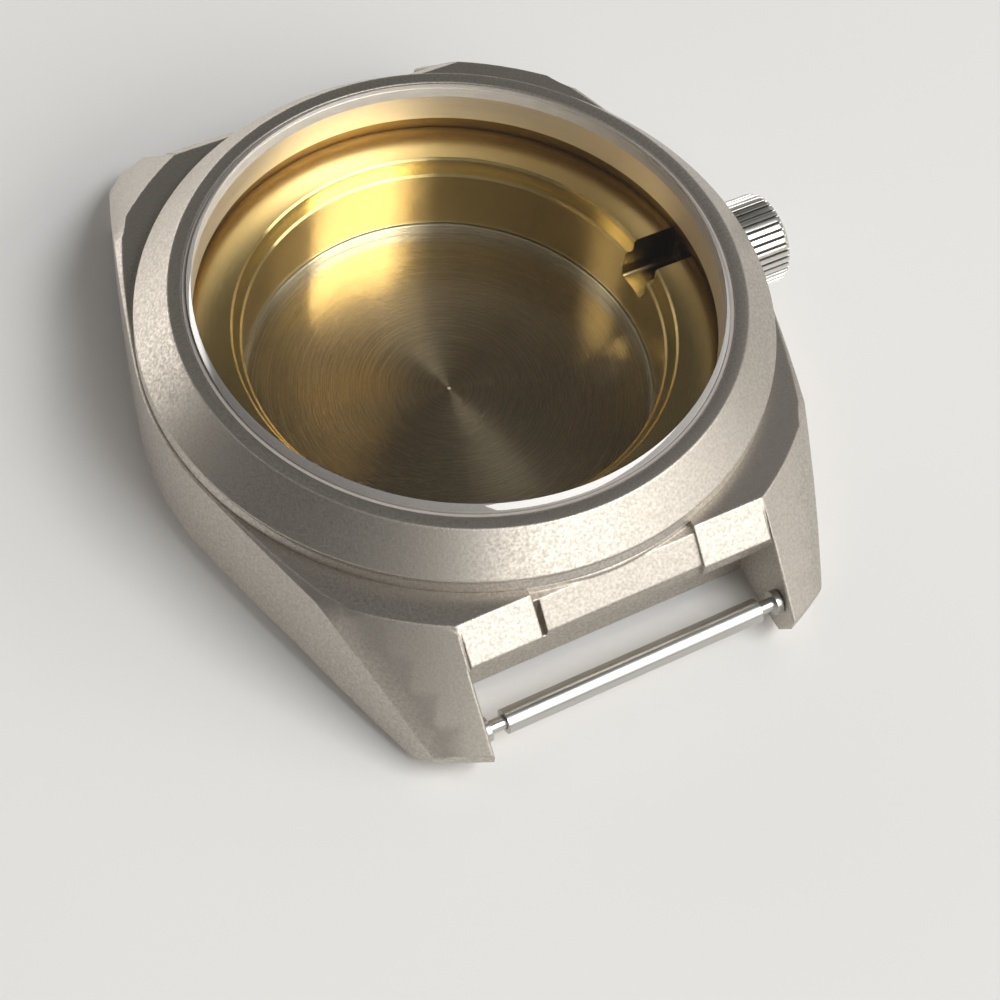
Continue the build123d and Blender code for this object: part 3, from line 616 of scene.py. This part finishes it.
def fluted_tree():
    """Round-bottomed grooves cut along a turned knob by a form cutter.

    The grooves' half width is a share of their pitch, the other sizes are in metres.
    """
    tree, nodes, link, given, out = shape_tree("fluted_knob", "Knob", (
        ("Flutes", 40.0), ("Rim radius", 0.003), ("Groove depth", 0.0002),
        ("Groove half width", 0.2), ("Crest fall", 0.00002)))

    def calc(operation, *values):
        return math_node(nodes, link, operation, *values)

    split = nodes.new("ShaderNodeSeparateXYZ")
    link(nodes.new("GeometryNodeInputPosition").outputs["Position"], split.inputs["Vector"])
    x, y, z = split.outputs["X"], split.outputs["Y"], split.outputs["Z"]
    r = calc("SQRT", calc("ADD", calc("MULTIPLY", x, x), calc("MULTIPLY", y, y)))
    # Phase is 0 in the middle of a groove and 0.5 at the crests beside it
    turns = calc("DIVIDE", calc("ARCTAN2", y, x), 2 * math.pi)
    count = calc("MULTIPLY", turns, given["Flutes"])
    phase = calc("ABSOLUTE", calc("SUBTRACT", calc("FRACT", count), 0.5))
    inside = calc("MINIMUM", calc("DIVIDE", phase, given["Groove half width"]), 1.0)
    hollow = calc("SUBTRACT", 1.0, calc("MULTIPLY", inside, inside))
    groove = calc("SQRT", calc("MAXIMUM", hollow, 0.0))
    crest = calc("POWER", calc("SUBTRACT", 1.0, calc("MULTIPLY", phase, 2.0)), 2.0)
    cut = calc("ADD", calc("MULTIPLY", groove, given["Groove depth"]),
               calc("MULTIPLY", crest, given["Crest fall"]))
    limit = calc("SUBTRACT", given["Rim radius"], cut)
    share = calc("DIVIDE", calc("MINIMUM", r, limit), calc("MAXIMUM", r, 1e-9))
    spot = nodes.new("ShaderNodeCombineXYZ")
    link(calc("MULTIPLY", x, share), spot.inputs["X"])
    link(calc("MULTIPLY", y, share), spot.inputs["Y"])
    link(z, spot.inputs["Z"])
    move = nodes.new("GeometryNodeSetPosition")
    link(given["Knob"], move.inputs["Geometry"])
    link(spot.outputs["Vector"], move.inputs["Position"])
    finished(nodes, link, move.outputs["Geometry"], given, out)
    return tree


# Its heights run outwards on the crown's axis, as the case's own x does: the recess of the post,
# the well over the tube with the groove of its seal, the fluted rim and the domed end
knob = turned_piece("crown_knob", (
    (0, 22.40, 0), (0.6, 22.40, 0), (0.6, 21.95, 0.04), (1.6, 21.95, 0.05), (1.6, 21.17, 0.04),
    (1.95, 21.17, 0.04), (1.95, 20.53, 0.04), (1.6, 20.53, 0.04), (1.6, 19.85, 0.08),
    (2.78, 19.85, 0.05), (CROWN_RADIUS, 19.98, 0.10), (CROWN_RADIUS, 22.60, 0.35),
    (2.86, 22.87, 0.25), (2.62, 23.02, 0.5), (1.5, 23.19, 2.5), (0, 23.24, 0)), fluted, 960)
shaped(knob, fluted_tree(), {
    "Flutes": 40.0, "Rim radius": CROWN_RADIUS * MM, "Groove depth": 0.17 * MM,
    "Groove half width": 0.17, "Crest fall": 0.012 * MM, "Finish": fluted})
made_plain(knob, 40.0)
on_its_side = Matrix.Rotation(math.radians(90), 4, "Y")
knob.data.transform(Matrix.Translation((0, 0, CROWN_Z * MM)) @ on_its_side)
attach(knob, "crown")
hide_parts("crown")


# Spring bars
# Drawn steel tubes with a flanged pin sprung out of each end, which clicks into a lug's hole.
# Drawing leaves fine scratches along the bar.

bar_steel, nodes, link, shader = plain_material("bar_steel_finish", {"Metallic": 1.0})
drawn = nodes.new("ShaderNodeMapping")
drawn.inputs["Scale"].default_value = (120.0, 5200.0, 5200.0)
link(nodes.new("ShaderNodeTexCoord").outputs["Object"], drawn.inputs["Vector"])
scratch = noise(nodes, link, 1.0, 3.0, vector=drawn.outputs["Vector"])
link(ranged(nodes, link, scratch, low=0.22, high=0.42), shader.inputs["Roughness"])
link(mixed(nodes, link, scratch, (0.48, 0.47, 0.45), (0.62, 0.61, 0.58)),
     shader.inputs["Base Color"])
softened_edges(nodes, link, shader, 0.03 * MM)
for end in ("12", "6"):
    for piece in ("barrel", "spring", "tip_left", "tip_right"):
        dress(f"spring_bar_{end}_{piece}", bar_steel)


# Studio
# A plain pale floor, two large soft boxes in front with a small one at each side, a room that
# the metal and the crystal mirror, and the camera at the photograph's angle.

floor_mesh = bpy.data.meshes.new("floor")
floor_mesh.from_pydata([(-2, -2, 0), (2, -2, 0), (2, 2, 0), (-2, 2, 0)], [], [(0, 1, 2, 3)])
floor_mesh.materials.append(plain_material("pale_floor", {
    "Base Color": (0.88, 0.87, 0.855), "Roughness": 0.8})[0])
floor = placed("floor", floor_mesh)


def soft_box(name, azimuth, elevation, distance, width, height, radiance, tint):
    """A rectangular soft light that faces the case. Angles in degrees, lengths in metres."""
    lamp = bpy.data.lights.new(name, "AREA")
    lamp.shape = "RECTANGLE"
    lamp.size, lamp.size_y = width, height
    lamp.energy = radiance * math.pi * width * height
    lamp.color = tint
    az, el = math.radians(azimuth), math.radians(elevation)
    away = Vector((math.cos(el) * math.cos(az), math.cos(el) * math.sin(az), math.sin(el)))
    middle_of_case = Vector((0, 0, 0.006))
    facing = away.to_track_quat("Z", "Y").to_matrix().to_4x4()
    placed(name, lamp).matrix_world = \
        Matrix.Translation(away * distance + middle_of_case) @ facing


# Name, azimuth, elevation, distance, width, height, brightness and tint
soft_box("key", -61, 31, 0.9, 1.32, 0.38, 3.5, (1.0, 0.985, 0.95))
soft_box("window", -57, 56, 0.9, 0.53, 0.29, 8.5, (0.98, 0.99, 1.0))
soft_box("right", 33, 37, 0.45, 0.06, 0.06, 2.2, (1.0, 0.99, 0.97))
soft_box("left", 152, 48, 0.45, 0.10, 0.15, 1.5, (1.0, 0.99, 0.97))

world = bpy.data.worlds.new("room")
bpy.context.scene.world = world
world.use_nodes = True
nodes, link = world.node_tree.nodes, world.node_tree.links.new
direction = nodes.new("ShaderNodeTexCoord").outputs["Generated"]
split = nodes.new("ShaderNodeSeparateXYZ")
link(direction, split.inputs["Vector"])
height = split.outputs["Z"]


def fade(value, start, end, before, after):
    """A smooth change of the room's light from one strength to another along a value."""
    return ranged(nodes, link, value, start, end, before, after, "SMOOTHSTEP")


def toward(way):
    """How far a direction of the room agrees with the given one, 1 when it is the same."""
    node = nodes.new("ShaderNodeVectorMath")
    node.operation = "DOT_PRODUCT"
    node.inputs[1].default_value = way
    link(direction, node.inputs[0])
    return node.outputs["Value"]


# Paler low down, darker where the crystal and the left flank would mirror the room, brighter at
# the right, and a pale wall low behind the case. Each row has a direction, the agreement with it
# at which a change starts and is full, and what is left of the light there
strength = fade(height, 0.02, 0.3, 0.34, 0.17)
for way, outer, inner, left_over in (((0.296, 0.474, 0.829), 0.86, 0.965, 0.3),
                                     ((-0.95, 0.1, 0.29), 0.6, 0.9, 0.4),
                                     ((0.97, -0.1, 0.2), 0.7, 0.95, 1.6)):
    strength = math_node(nodes, link, "MULTIPLY", strength,
                         fade(toward(way), outer, inner, 1.0, left_over))
behind = fade(toward((-0.276, 0.961, 0)), 0.72, 0.86, 0.0, 1.0)
wall = fade(height, 0.15, 0.27, 4.0, 0.0)
link(math_node(nodes, link, "MULTIPLY_ADD", behind, wall, strength),
     nodes["Background"].inputs["Strength"])
nodes["Background"].inputs["Color"].default_value = (1.0, 0.97, 0.93, 1)

# The pinhole camera that fits the photograph's edges: a focal length of 2219 pixels in 1000, its
# axes in the matrix's columns and its place in the last
lens = bpy.data.cameras.new("camera")
lens.lens = 79.886
lens.sensor_width = 36.0
lens.sensor_fit = "HORIZONTAL"
lens.clip_start = 0.005
lens.clip_end = 20.0
camera = placed("camera", lens)
camera.matrix_world = Matrix((
    (0.87621, 0.35387, -0.32716, -0.04520),
    (-0.47410, 0.75480, -0.45334, -0.06987),
    (0.08652, 0.55232, 0.82913, 0.11341),
    (0, 0, 0, 1)))
bpy.context.scene.camera = camera
bpy.context.scene.view_settings.view_transform = "Standard"
